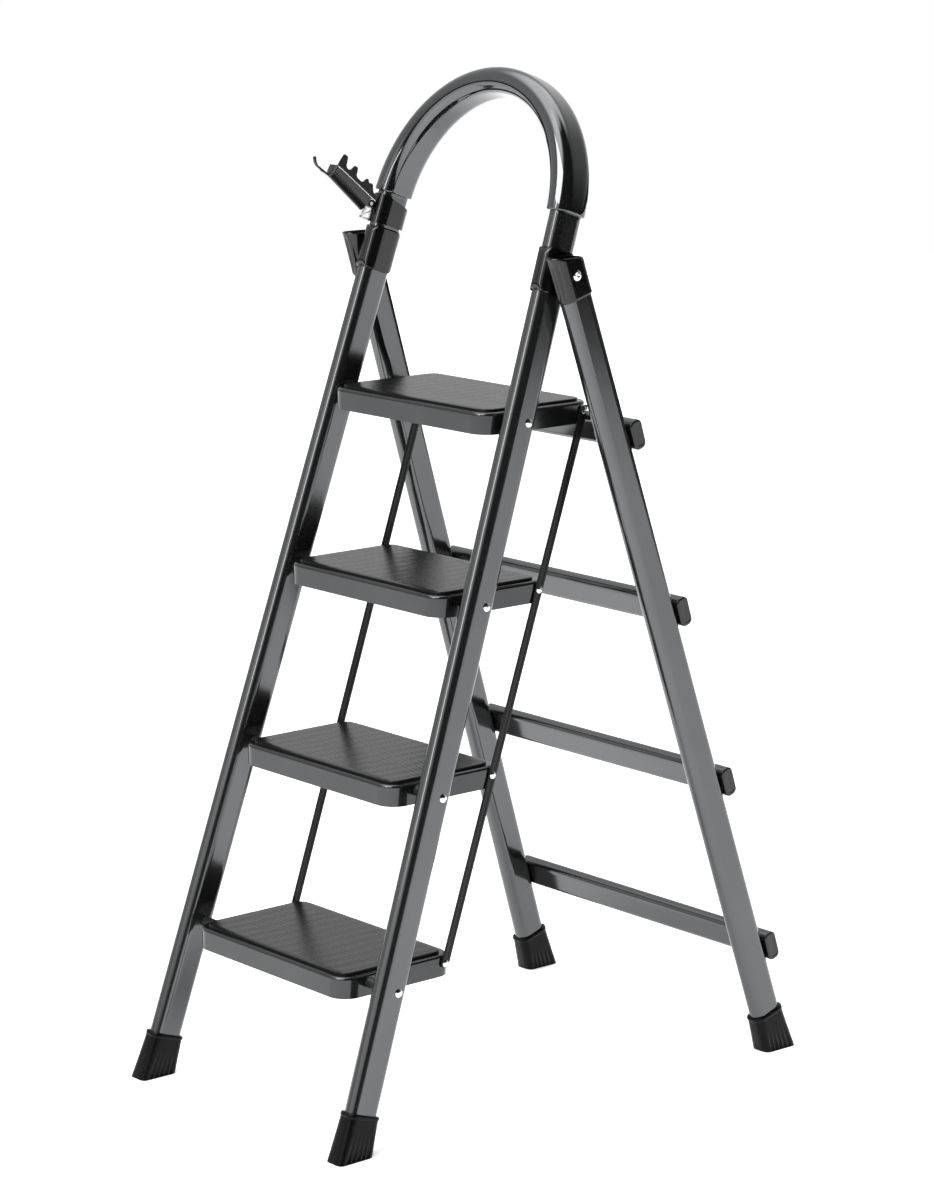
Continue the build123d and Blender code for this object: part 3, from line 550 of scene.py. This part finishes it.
def mat(name, node):
    low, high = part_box(node)
    half_x, half_y = (high.x - low.x) / 2, (high.y - low.y) / 2
    middle = (low + high) / 2
    columns = int(ceil(2 * half_x / MAT_PITCH)) * MAT_RIB_STEPS
    rows = MAT_ROWS
    points, faces = [], []

    def edge_x(y):
        over = abs(y) - (half_y - MAT_CORNER)
        if over <= 0:
            return half_x
        return half_x - MAT_CORNER + sqrt(max(0.0, MAT_CORNER ** 2 - over ** 2))

    for j in range(rows + 1):
        y = (2 * j / rows - 1) * half_y
        limit = edge_x(y)
        for i in range(columns + 1):
            x = limit * (2 * i / columns - 1)
            border = min(limit - abs(x), half_y - abs(y))
            flat = ease((border - MAT_EDGE_START) / MAT_EDGE)
            phase = (x + MAT_SWAY * sin(2 * pi * y / MAT_SWAY_LENGTH)) / MAT_PITCH
            rib = MAT_RIB * (0.5 + 0.5 * cos(2 * pi * phase))
            swayed = x + MAT_SWELL_SWAY * sin(2 * pi * y / MAT_SWELL_LENGTH)
            swell = MAT_SWELL * cos(2 * pi * swayed / (MAT_SWELL_RIBS * MAT_PITCH))
            drop = 0.0 if border > MAT_INSET else (MAT_INSET - border) * MAT_INSET_SLOPE
            height = high.z - MAT_RIB - MAT_CLEAR + flat * (rib + swell) - drop
            points.append((middle.x + x, middle.y + y, height))
    width = columns + 1
    for j in range(rows):
        for i in range(columns):
            a = j * width + i
            faces.append((a, a + 1, a + width + 1, a + width))
    rim = list(range(width)) + [j * width + columns for j in range(1, rows + 1)]
    rim += [rows * width + i for i in range(columns - 1, -1, -1)]
    rim += [j * width for j in range(rows - 1, 0, -1)]
    base = len(points)
    for index in rim:
        x, y, _ = points[index]
        points.append((x, y, low.z))
    top_faces = len(faces)
    count = len(rim)
    for k in range(count):
        n = (k + 1) % count
        faces.append((rim[k], base + k, base + n, rim[n]))
    faces.append(tuple(base + k for k in range(count - 1, -1, -1)))
    piece = make_mesh(name, points, faces, 40)
    piece.data.materials.append(mat_rubber)
    piece.data.materials.append(mat_side_painted_shade)
    # Side walls and underside take the darker rubber copy: painted shade.
    for polygon in piece.data.polygons[top_faces:]:
        polygon.material_index = 1
    return piece


for number in range(1, 5):
    put(mat(f"mat_{number}", f"tread_mat_{number}"), mat_rubber, f"tread_{number}",
        [f"tread_mat_{number}"])

# ---------------------------------------------------------------- straps
STRAP_WIDE = 0.012
STRAP_THICK = 0.0025
STRAP_EDGE = 0.0006
STRAP_GROOVE = 0.0005
STRAP_GROOVE_FADE = 0.03

strap_low = Vector((0, PIVOTS[1].y + STRAP_SETBACK, PIVOTS[1].z))
strap_high = Vector((0, PIVOTS[4].y + STRAP_SETBACK, PIVOTS[4].z))
strap_axis = (strap_high - strap_low).normalized()
strap_side = strap_axis.cross(Vector((1, 0, 0)))


def strap(name, node):
    low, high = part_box(node)
    centre_x = (low.x + high.x) / 2
    run = (strap_high - strap_low).length
    half = STRAP_WIDE / 2
    stations = [(-half + half * (1 - cos(pi / 2 * k / 7)), half * sin(pi / 2 * k / 7)) for k in range(1, 8)]
    stations += [(run * k / 60, half) for k in range(1, 60)]
    stations += [(run + half * sin(pi / 2 * k / 7), half * cos(pi / 2 * k / 7)) for k in range(0, 7)]
    rings = []
    for along, reach in stations:
        thick = STRAP_THICK / 2
        soft = min(STRAP_EDGE, reach * 0.4)
        near_end = min(along, run - along, STRAP_GROOVE_FADE)
        swage = STRAP_GROOVE * ease(near_end / STRAP_GROOVE_FADE) if 0 < along < run else 0.0
        shape = [(-thick + soft * 0.3, -reach + soft * 0.3), (-thick, -reach + soft), (-thick, -reach * 0.45),
                 (-thick + swage, -reach * 0.3), (-thick + swage, reach * 0.3), (-thick, reach * 0.45),
                 (-thick, reach - soft), (-thick + soft * 0.3, reach - soft * 0.3), (-thick + soft, reach),
                 (thick - soft, reach), (thick - soft * 0.3, reach - soft * 0.3), (thick, reach - soft),
                 (thick, reach * 0.45), (thick - swage, reach * 0.3), (thick - swage, -reach * 0.3),
                 (thick, -reach * 0.45), (thick, -reach + soft), (thick - soft * 0.3, -reach + soft * 0.3),
                 (thick - soft, -reach), (-thick + soft, -reach)]
        centre = strap_low + strap_axis * along
        rings.append([Vector((centre_x + x, 0, 0)) + Vector((0, centre.y, centre.z)) + strap_side * y
                      for x, y in shape])
    return loft(name, rings, sharp=25)


for side_name, _ in SIDES:
    put(strap(f"strap_bar_{side_name}", f"link_strap_{side_name}"), strap_paint, f"strap_{side_name}",
        [f"link_strap_{side_name}"])

# ---------------------------------------------------------------- crossbar plugs
CROSSBAR_DEEP = 0.020
CROSSBAR_HIGH = 0.040
CROSSBAR_ROUND = 0.008
PLUG_STEP = 0.0016
PLUG_HEAD = 0.003
PLUG_EDGE = 0.0022
PLUG_LEAST_CORNER = 0.0015


def plug(name, node, side):
    low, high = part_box(node)
    centre = (low + high) / 2
    up = REAR.col[1].to_3d()
    back = -REAR.col[2].to_3d()
    outer = high.x if side > 0 else low.x
    inner = low.x if side > 0 else high.x
    rings = []
    steps = [(0.0, PLUG_STEP, inner), (0.0, PLUG_STEP, outer - side * PLUG_HEAD),
             (0.0, 0.0, outer - side * PLUG_HEAD)]
    for k in range(7):
        bend = pi / 2 * k / 6
        steps.append((PLUG_EDGE * (1 - cos(bend)), 0.0, outer - side * PLUG_EDGE * (1 - sin(bend))))
    steps += [(0.0042, 0.0, outer), (0.0048, 0.0, outer - side * 0.0006),
              (0.0062, 0.0, outer - side * 0.0007)]
    for shrink, less, x in steps:
        cut = shrink + less
        corner = max(PLUG_LEAST_CORNER, CROSSBAR_ROUND - cut)
        section = outline(CROSSBAR_HIGH - 2 * cut, CROSSBAR_DEEP - 2 * cut, corner, 20, 2)
        rings.append([Vector((x, centre.y, centre.z)) + back * a + up * b for a, b in section])
    if side * (back.cross(up)).x < 0:
        rings = [list(reversed(ring)) for ring in rings]
    return loft(name, rings, sharp=40)


for number in range(1, 5):
    for side_name, side in SIDES:
        node = f"crossbar_plug_{number}_{side_name}"
        put(plug(f"plug_{number}_{side_name}", node, side), fitting, "rear_frame", [node])

# ---------------------------------------------------------------- tool tray
TRAY_SLOPE = radians(39)
TRAY_EDGE_X = -0.166
TRAY_WIDE = 0.018
TRAY_NEAR = 0.0055
TRAY_FAR = 0.0785
TRAY_RIM = 0.0063
TRAY_DEEP_NEAR = 0.0215
TRAY_DEEP_FAR = 0.018
TRAY_WALL = 0.0025
RIM_BEAD = 0.0015
KNUCKLE_RADIUS = 0.005
KNUCKLE_NECK = 0.003
KNUCKLE_REACH = 0.0068
KNUCKLE_X = (-0.1783, -0.1723)
TONGUE_X = -0.175
TONGUE_WIDE = 0.004

TRAY = Matrix.Translation((0, TRAY_AXIS.y, TRAY_AXIS.z)) @ Matrix((
    Vector((0, -cos(TRAY_SLOPE), sin(TRAY_SLOPE))), Vector((0, sin(TRAY_SLOPE), cos(TRAY_SLOPE))),
    Vector((1, 0, 0)))).transposed().to_4x4()


def tray_point(along, up, x):
    return TRAY @ Vector((along, up, x))


def trough():
    """Round-bottomed trough; each ring runs down the outside and back up the inside."""
    steps = 22
    rings = []
    middle = TRAY_EDGE_X - TRAY_WIDE / 2

    def half(along, wall, low=0.0):
        share = (along - TRAY_NEAR) / (TRAY_FAR - TRAY_NEAR)
        deep = TRAY_DEEP_NEAR + (TRAY_DEEP_FAR - TRAY_DEEP_NEAR) * share - wall
        wide = TRAY_WIDE / 2 - wall
        return [(middle + wide * cos(pi * k / steps), TRAY_RIM - low - deep * sin(pi * k / steps))
                for k in range(steps + 1)]

    def flat(along, level):
        return [(x, TRAY_RIM - level) for x, _ in half(along, TRAY_WALL)]

    def ring(along, outer, inner):
        down = [tray_point(along, v, x) for x, v in outer]
        return down + [tray_point(along, v, x) for x, v in reversed(inner)]

    edge = 0.0008
    stations = [(TRAY_NEAR, edge, None), (TRAY_NEAR + 0.0003, edge * 0.4, None),
                (TRAY_NEAR + edge, 0.0, None), (TRAY_NEAR + TRAY_WALL - 0.0001, 0.0, None),
                (TRAY_NEAR + TRAY_WALL, 0.0, 1)]
    stations += [(TRAY_NEAR + (TRAY_FAR - TRAY_NEAR) * k / 14, 0.0, 1) for k in range(1, 14)]
    stations += [(TRAY_FAR - TRAY_WALL, 0.0, 1), (TRAY_FAR - TRAY_WALL + 0.0001, 0.0, None),
                 (TRAY_FAR - edge, 0.0, None), (TRAY_FAR - 0.0003, edge * 0.4, None), (TRAY_FAR, edge, None)]
    for along, inset, hollow in stations:
        inner = half(along, TRAY_WALL) if hollow else flat(along, inset * 0.5)
        rings.append(ring(along, half(along, inset), inner))
    return loft("tray_trough", rings, sharp=40)


def plate(name, profile, x_low, x_high, edge=0.0004):
    """Flat plate cut to a profile in the tray's side view, with softened edges."""
    count = len(profile)
    inner = []
    for i in range(count):
        a, b, c = (Vector((*profile[(i + k) % count], 0)) for k in (-1, 0, 1))
        out_one, out_two = (b - a).normalized(), (c - b).normalized()
        turn = Vector((-(out_one.y + out_two.y), out_one.x + out_two.x, 0)).normalized()
        inner.append((b.x + turn.x * edge, b.y + turn.y * edge))
    sections = ((inner, x_low), (profile, x_low + edge), (profile, x_high - edge), (inner, x_high))
    rings = [[tray_point(u, v, x) for u, v in section] for section, x in sections]
    return loft(name, rings, sharp=30)


def arc_points(centre, radius, start, end, steps=8):
    return [(centre[0] + radius * cos(radians(start + (end - start) * k / steps)),
             centre[1] + radius * sin(radians(start + (end - start) * k / steps))) for k in range(steps + 1)]


def tooth_strip():
    """Outline of the strip with its three teeth and the U-shaped notches between them."""
    mm = [(-2.5, 4.6), (78.3, 4.6), (78.5, 5.2), (79.0, 12.0), (78.6, 22.6), (77.6, 23.8),
          (72.0, 24.0), (70.9, 23.2), (69.4, 19.0)]
    mm += arc_points((62.2, 17.6), 6.0, -2, -178, 10)
    mm += [(55.2, 20.6), (53.6, 22.3), (50.5, 22.5), (48.8, 21.6), (46.6, 17.4)]
    mm += arc_points((41.0, 17.2), 5.4, -4, -90, 5)
    mm += arc_points((35.0, 17.2), 5.4, -90, -172, 5)
    mm += [(28.4, 19.6), (27.2, 20.9), (25.2, 21.0), (23.6, 19.2), (21.0, 18.0), (19.2, 19.4), (16.8, 20.2),
           (14.6, 19.6), (12.2, 16.2), (8.6, 12.8), (2.2, 11.8)]
    return [(u * MM, v * MM) for u, v in mm]


def tongue_profile():
    """Outline of the hooked tongue beyond the far end of the tray."""
    mm = [(76.0, -8.9), (76.0, -11.5), (84.0, -12.4), (88.0, -12.6), (88.6, -13.3), (92.4, -13.5),
          (93.0, -12.9), (101.0, -13.2), (104.6, -12.2), (108.4, -10.2), (111.3, -7.4), (112.2, -5.2),
          (111.0, -4.2), (109.2, -4.9), (107.2, -7.2), (104.4, -9.3), (100.6, -10.8), (93.0, -10.4),
          (84.0, -9.8)]
    return [(u * MM, v * MM) for u, v in mm]


def bead():
    """Slim rib along the outside of the strip, where the trough hangs from it; its light metal colour is a
    painted highlight.
    """
    steps = 12
    rings = []
    for k in range(25):
        along = -0.0022 + (TRAY_FAR + 0.0018) * k / 24
        size = RIM_BEAD * (0.35 if k in (0, 24) else 1.0)
        rings.append([tray_point(along, 0.0052 + size * sin(2 * pi * i / steps),
                                 TRAY_EDGE_X - 0.0002 + size * 0.75 * cos(2 * pi * i / steps))
                      for i in range(steps)])
    return loft("tray_bead", rings, sharp=60)


# The bead's light metal colour is a painted highlight along the black tray's rim, not the tray's own colour.
bead_painted_highlight = finish_material("tray_bead_painted_highlight", 0.5, 0.6, (0.15, 0.25), metallic=1.0, grain=500.0)
knuckle = [(KNUCKLE_RADIUS * cos(2 * pi * k / 28), KNUCKLE_RADIUS * sin(2 * pi * k / 28)) for k in range(28)]
knuckle = [p for p in knuckle if not (p[0] > 0.0 and abs(p[1]) < KNUCKLE_NECK)]
first = next(k for k, p in enumerate(knuckle) if p[0] > 0 and p[1] >= KNUCKLE_NECK)
knuckle = knuckle[first:] + knuckle[:first] + [(KNUCKLE_REACH, -KNUCKLE_NECK), (KNUCKLE_REACH, KNUCKLE_NECK)]
pieces = [
    (trough(), tray_plastic),
    (plate("tray_strip", tooth_strip(), TRAY_EDGE_X - TRAY_WALL, TRAY_EDGE_X), tray_plastic),
    (plate("tray_tongue", tongue_profile(), TONGUE_X - TONGUE_WIDE / 2, TONGUE_X + TONGUE_WIDE / 2, 0.0005),
     tray_plastic),
    (plate("tray_knuckle", knuckle, *KNUCKLE_X), tray_plastic),
    (bead(), bead_painted_highlight)]
for piece, material in pieces:
    put(piece, material, "tray", ["tool_tray"])

dress("tray_clamp", fitting)
soften = nodes["tray_clamp"].modifiers.new("soften", "BEVEL")
soften.width = 0.0012
soften.segments = 3
soften.limit_method = "ANGLE"
soften.angle_limit = radians(35)
soften.harden_normals = True


# ---------------------------------------------------------------- stay
STAY_UP = 1.166
STAY_OUT = 0.0037
STAY_X = (-0.176, -0.173)
STAY_RIB_X = (-0.1755, -0.1735)


def stay():
    """Open bent triangle with a bowed rib across it."""
    clamp_front = TUBE_DEEP / 2 + STAY_OUT
    plane = Matrix.Translation(FRONT @ Vector((0, STAY_UP, 0))) @ Matrix((
        FRONT.col[2].to_3d(), FRONT.col[1].to_3d(), Vector((1, 0, 0)))).transposed().to_4x4()

    def bar(name, path, wide, x_low, x_high):
        """Flat bar along a path given as (out of the clamp, up) pairs."""
        left, right = [], []
        for i, (u, v) in enumerate(path):
            before, after = path[max(0, i - 1)], path[min(len(path) - 1, i + 1)]
            way = Vector((after[0] - before[0], after[1] - before[1], 0)).normalized()
            left.append((u - way.y * wide / 2, v + way.x * wide / 2))
            right.append((u + way.y * wide / 2, v - way.x * wide / 2))
        rings = []
        for (a, b), (c, d) in zip(left, right):
            corners = ((a, b, x_low), (c, d, x_low), (c, d, x_high), (a, b, x_high))
            rings.append([plane @ Vector((clamp_front + out, up, x)) for out, up, x in corners])
        return loft(name, rings, sharp=30)

    leg = bar("stay_leg", [(0.0012, 0.0008), (0.0012, 0.0151)], 0.0022, *STAY_X)
    foot = bar("stay_foot", [(0.0010, 0.0018), (0.0184, 0.0018)], 0.0024, *STAY_X)
    brace = bar("stay_brace", [(0.0178, 0.0014), (0.0143, 0.0078), (0.0104, 0.0150)], 0.0024, *STAY_X)
    rib = bar("stay_rib", [(0.0140, 0.0026), (0.0118, 0.0060), (0.0082, 0.0092), (0.0030, 0.0118)], 0.0016,
              *STAY_RIB_X)
    return leg, foot, brace, rib


for piece in stay():
    put(piece, bare, "front_frame", ["tray_stay"])

# ---------------------------------------------------------------- floor, light and camera
FLOOR_RADIUS = 10.0
FLOOR_SIDES = 96
FLOOR_GLOW = 0.45
CAMERA_PLACE = Vector((3.579, -3.0288, 1.6052))
CAMERA_AIM = Vector((-0.001, 0.015, 0.627))
CAMERA_LENS = 109.5

points = [(0, 0, 0)]
for i in range(FLOOR_SIDES):
    angle = 2 * pi * i / FLOOR_SIDES
    points.append((FLOOR_RADIUS * cos(angle), FLOOR_RADIUS * sin(angle), 0))
floor = make_mesh("floor", points, [(0, 1 + i, 1 + (i + 1) % FLOOR_SIDES) for i in range(FLOOR_SIDES)])
floor_paint = finish_material("floor_pale", 0.90, 0.92, (0.6, 0.7), grain=40.0, depth=0.0, patch=0.4,
                              warm=0.0, specular=0.1)
floor_shader = floor_paint.node_tree.nodes["Principled BSDF"]
floor_shader.inputs["Emission Color"].default_value = (1.0, 1.0, 1.0, 1.0)
floor_shader.inputs["Emission Strength"].default_value = FLOOR_GLOW
floor.data.materials.append(floor_paint)

world = bpy.data.worlds.new("studio")
bpy.context.scene.world = world
world.use_nodes = True
tree = world.node_tree
tree.nodes.clear()
direction = tree.nodes.new("ShaderNodeTexCoord").outputs["Generated"]
split = tree.nodes.new("ShaderNodeSeparateXYZ")
tree.links.new(direction, split.inputs["Vector"])


def math_node(operation, first, second=None):
    node = tree.nodes.new("ShaderNodeMath")
    node.operation = operation
    for socket, value in zip(node.inputs, (first, second)):
        if value is None:
            continue
        if isinstance(value, (int, float)):
            socket.default_value = value
        else:
            tree.links.new(value, socket)
    return node.outputs["Value"]


def facing(azimuth, width, soft):
    """1 where the direction is within width degrees of an azimuth (from the front towards +X)."""
    across = math_node("MULTIPLY", split.outputs["X"], sin(radians(azimuth)))
    ahead = math_node("MULTIPLY", split.outputs["Y"], -cos(radians(azimuth)))
    dot = math_node("ADD", across, ahead)
    flat = math_node("SQRT", math_node("ADD", math_node("POWER", split.outputs["X"], 2.0),
                                       math_node("POWER", split.outputs["Y"], 2.0)))
    share = math_node("DIVIDE", dot, math_node("MAXIMUM", flat, 0.001))
    node = tree.nodes.new("ShaderNodeMapRange")
    node.interpolation_type = "SMOOTHSTEP"
    node.inputs["From Min"].default_value = cos(radians(min(180, width + soft)))
    node.inputs["From Max"].default_value = cos(radians(max(0, width - soft)))
    tree.links.new(share, node.inputs["Value"])
    return node.outputs["Result"]


def rising(low, high):
    """0 below one elevation and 1 above the other, in degrees."""
    node = tree.nodes.new("ShaderNodeMapRange")
    node.interpolation_type = "SMOOTHSTEP"
    node.inputs["From Min"].default_value = sin(radians(low))
    node.inputs["From Max"].default_value = sin(radians(high))
    tree.links.new(split.outputs["Z"], node.inputs["Value"])
    return node.outputs["Result"]


def times(value, level):
    return math_node("MULTIPLY", value, level)


above = rising(-1.5, 2.5)
glow = times(facing(-95, 75, 30), 0.8)
glow = math_node("ADD", glow, times(math_node("MULTIPLY", facing(4, 24, 12), rising(4, 14)), 1.3))
glow = math_node("ADD", glow, times(facing(180, 32, 18), 0.4))
glow = math_node("ADD", math_node("MULTIPLY", glow, above), 0.008)
below_zenith = math_node("SUBTRACT", 1.0, rising(72, 84))
shade = math_node("SUBTRACT", 1.0, math_node("MULTIPLY", facing(95, 55, 20), below_zenith))
sky = math_node("ADD", glow, times(math_node("MULTIPLY", rising(40, 62), shade), 2.7))
background = tree.nodes.new("ShaderNodeBackground")
tree.links.new(sky, background.inputs["Color"])
white = tree.nodes.new("ShaderNodeBackground")
white.inputs["Color"].default_value = (1.0, 1.0, 1.0, 1.0)
ray = tree.nodes.new("ShaderNodeLightPath")
choose = tree.nodes.new("ShaderNodeMixShader")
tree.links.new(ray.outputs["Is Camera Ray"], choose.inputs["Fac"])
tree.links.new(background.outputs["Background"], choose.inputs[1])
tree.links.new(white.outputs["Background"], choose.inputs[2])
output = tree.nodes.new("ShaderNodeOutputWorld")
tree.links.new(choose.outputs["Shader"], output.inputs["Surface"])


def area_light(name, wide, high, energy, place, aim):
    lamp = bpy.data.lights.new(name, "AREA")
    lamp.shape = "RECTANGLE"
    lamp.size = wide
    lamp.size_y = high
    lamp.energy = energy
    light = bpy.data.objects.new(name, lamp)
    bpy.context.scene.collection.objects.link(light)
    light.location = place
    light.rotation_mode = "QUATERNION"
    light.rotation_quaternion = (aim - light.location).to_track_quat("-Z", "Y")


area_light("softbox", 3.2, 1.4, 110.0, (0.42, -2.97, 3.75), Vector((0, 0, 1.3)))
area_light("strip_light", 0.35, 1.8, 15.0, (0.42, -2.97, 2.1), Vector((0, 0, 1.1)))

camera = bpy.data.objects.new("camera", bpy.data.cameras.new("camera"))
bpy.context.scene.collection.objects.link(camera)
camera.location = CAMERA_PLACE
camera.rotation_mode = "QUATERNION"
camera.rotation_quaternion = (CAMERA_AIM - CAMERA_PLACE).to_track_quat("-Z", "Y")
camera.data.lens = CAMERA_LENS
camera.data.clip_end = 400.0
bpy.context.scene.camera = camera
bpy.context.scene.view_settings.view_transform = "Standard"
